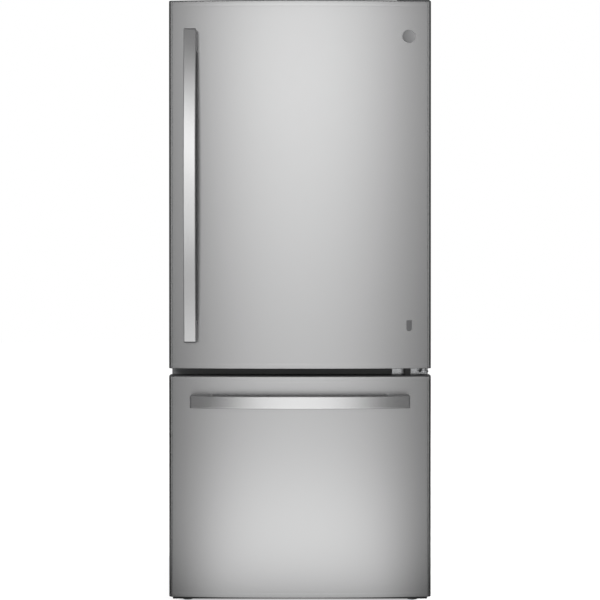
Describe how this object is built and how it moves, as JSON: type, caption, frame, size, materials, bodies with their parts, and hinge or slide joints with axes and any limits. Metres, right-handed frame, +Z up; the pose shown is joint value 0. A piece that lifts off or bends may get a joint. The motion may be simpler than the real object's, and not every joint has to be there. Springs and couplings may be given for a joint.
{
  "type": "bottom freezer refrigerator",
  "caption": "Free-standing refrigerator with a bowed stainless door that hinges at the right and a slide-out freezer drawer below, both with bowed bar handles.",
  "frame": {"origin": "on the floor, under the middle of the whole object's box", "axes": "+Z up, front faces -Y, +X to the viewer's right"},
  "size_m": [0.756, 0.894, 1.778],
  "materials": {
    "stainless": "fine brushed, satin",
    "handle_steel": "satin, slightly brighter than the door",
    "case_paint": "fine textured grey enamel",
    "galvanised": "dull zinc",
    "cap_plastic": "moulded dark grey",
    "hinge_cover_plastic": "moulded grey",
    "liner": "smooth white sheet",
    "white_plastic": "moulded white",
    "clear_plastic": "clear moulded plastic",
    "shelf_glass": "tempered glass",
    "insulation": "foamed in place",
    "gasket": "soft grey magnetic seal",
    "zinc_steel": "bright zinc plate",
    "black_paint": "satin black",
    "aluminium": "mill",
    "dark_plastic": "moulded black",
    "badge_metal": "grey anodised, blank"
  },
  "bodies": {
    "cabinet": {"cabinet_shell": "case_paint", "back_panel": "galvanised", "cabinet_foam": "insulation", "fresh_food_liner": "liner", "freezer_liner": "liner", "front_rails": "case_paint", "base_frame": "galvanised", "base_grille": "dark_plastic", "top_hinge": "zinc_steel", "top_hinge_cover": "hinge_cover_plastic", "middle_hinge": "zinc_steel", "hinge_screws": "zinc_steel", "slide_outer_members": "zinc_steel", "shelf_frames": "white_plastic", "shelf_glass": "shelf_glass", "crisper_cover": "white_plastic", "air_tower": "white_plastic", "control_housing": "white_plastic", "light_lens": "clear_plastic", "evaporator": "aluminium", "evaporator_cover": "white_plastic", "fan_motors": "galvanised", "compressor": "black_paint", "condenser_coil": "black_paint", "drain_pan": "dark_plastic", "machine_cover": "galvanised", "cord_gland": "dark_plastic"},
    "door": {"door_skin": "stainless", "door_foam": "insulation", "door_liner": "liner", "door_end_caps": "cap_plastic", "door_gasket": "gasket", "door_handle": "handle_steel", "round_badge": "badge_metal", "tag_plate": "badge_metal", "door_bins": "clear_plastic"},
    "dairy_lid": {"dairy_lid": "clear_plastic"},
    "freezer_drawer": {"drawer_skin": "stainless", "drawer_foam": "insulation", "drawer_inner_panel": "liner", "drawer_end_caps": "cap_plastic", "drawer_gasket": "gasket", "drawer_handle": "handle_steel", "slide_inner_members": "zinc_steel", "lower_basket": "white_plastic"},
    "slide_middles": {"slide_middle_members": "zinc_steel"},
    "upper_basket": {"upper_basket": "white_plastic"},
    "crisper_left": {"crisper_left": "clear_plastic"},
    "crisper_right": {"crisper_right": "clear_plastic"},
    "humidity_slider_left": {"humidity_slider_left": "white_plastic"},
    "humidity_slider_right": {"humidity_slider_right": "white_plastic"},
    "fridge_dial": {"fridge_dial": "white_plastic"},
    "freezer_dial": {"freezer_dial": "white_plastic"},
    "light_switch": {"light_switch": "white_plastic"},
    "evaporator_fan": {"evaporator_fan": "dark_plastic"},
    "condenser_fan": {"condenser_fan": "dark_plastic"},
    "roller_left": {"roller_left": "dark_plastic"},
    "roller_right": {"roller_right": "dark_plastic"},
    "levelling_leg_left": {"levelling_leg_left": "zinc_steel"},
    "levelling_leg_right": {"levelling_leg_right": "zinc_steel"}
  },
  "joints": [
    {"name": "door_hinge", "type": "hinge", "parent": "cabinet", "child": "door", "pos_m": [0.359, -0.332, 0.693], "axis": [0, 0, 1], "range_deg": [0, 125]},
    {"name": "freezer_drawer_slide", "type": "slide", "parent": "cabinet", "child": "freezer_drawer", "axis": [0, -1, 0], "range_m": [0, 0.42]},
    {"name": "slide_middles_travel", "type": "slide", "parent": "cabinet", "child": "slide_middles", "axis": [0, -1, 0], "range_m": [0, 0.21]},
    {"name": "upper_basket_slide", "type": "slide", "parent": "cabinet", "child": "upper_basket", "axis": [0, -1, 0], "range_m": [0, 0.295]},
    {"name": "crisper_left_slide", "type": "slide", "parent": "cabinet", "child": "crisper_left", "axis": [0, -1, 0], "range_m": [0, 0.24]},
    {"name": "crisper_right_slide", "type": "slide", "parent": "cabinet", "child": "crisper_right", "axis": [0, -1, 0], "range_m": [0, 0.24]},
    {"name": "light_switch_travel", "type": "slide", "parent": "cabinet", "child": "light_switch", "axis": [0, -1, 0], "range_m": [0, 0.006]},
    {"name": "dairy_lid_hinge", "type": "hinge", "parent": "door", "child": "dairy_lid", "pos_m": [0, -0.291, 1.566], "axis": [1, 0, 0], "range_deg": [0, 85]},
    {"name": "humidity_slider_left_travel", "type": "slide", "parent": "cabinet", "child": "humidity_slider_left", "axis": [1, 0, 0], "range_m": [0, 0.04]},
    {"name": "humidity_slider_right_travel", "type": "slide", "parent": "cabinet", "child": "humidity_slider_right", "axis": [1, 0, 0], "range_m": [0, 0.04]},
    {"name": "fridge_dial_turn", "type": "hinge", "parent": "cabinet", "child": "fridge_dial", "pos_m": [-0.09, -0.151, 1.68], "axis": [0, 1, 0], "range_deg": [0, 270]},
    {"name": "freezer_dial_turn", "type": "hinge", "parent": "cabinet", "child": "freezer_dial", "pos_m": [0.09, -0.151, 1.68], "axis": [0, 1, 0], "range_deg": [0, 270]},
    {"name": "evaporator_fan_spin", "type": "hinge", "parent": "cabinet", "child": "evaporator_fan", "pos_m": [0, 0.314, 0.5575], "axis": [0, 1, 0], "continuous": true},
    {"name": "condenser_fan_spin", "type": "hinge", "parent": "cabinet", "child": "condenser_fan", "pos_m": [-0.07, 0.334, 0.128], "axis": [1, 0, 0], "continuous": true},
    {"name": "roller_left_spin", "type": "hinge", "parent": "cabinet", "child": "roller_left", "pos_m": [-0.333, 0.367, 0.02], "axis": [1, 0, 0], "continuous": true},
    {"name": "roller_right_spin", "type": "hinge", "parent": "cabinet", "child": "roller_right", "pos_m": [0.333, 0.367, 0.02], "axis": [1, 0, 0], "continuous": true},
    {"name": "levelling_leg_left_turn", "type": "hinge", "parent": "cabinet", "child": "levelling_leg_left", "pos_m": [-0.333, -0.24, 0], "axis": [0, 0, 1], "continuous": true},
    {"name": "levelling_leg_right_turn", "type": "hinge", "parent": "cabinet", "child": "levelling_leg_right", "pos_m": [0.333, -0.24, 0], "axis": [0, 0, 1], "continuous": true}
  ],
  "couplings": [
    {"joint": "slide_middles_travel", "follows": "freezer_drawer_slide", "ratio": 0.5},
    {"joint": "upper_basket_slide", "follows": "freezer_drawer_slide", "ratio": 0.7},
    {"joint": "crisper_left_slide", "follows": "door_hinge", "m_per_rad": 0.11},
    {"joint": "crisper_right_slide", "follows": "door_hinge", "m_per_rad": 0.11},
    {"joint": "light_switch_travel", "follows": "door_hinge", "m_per_rad": 0.00275}
  ]
}
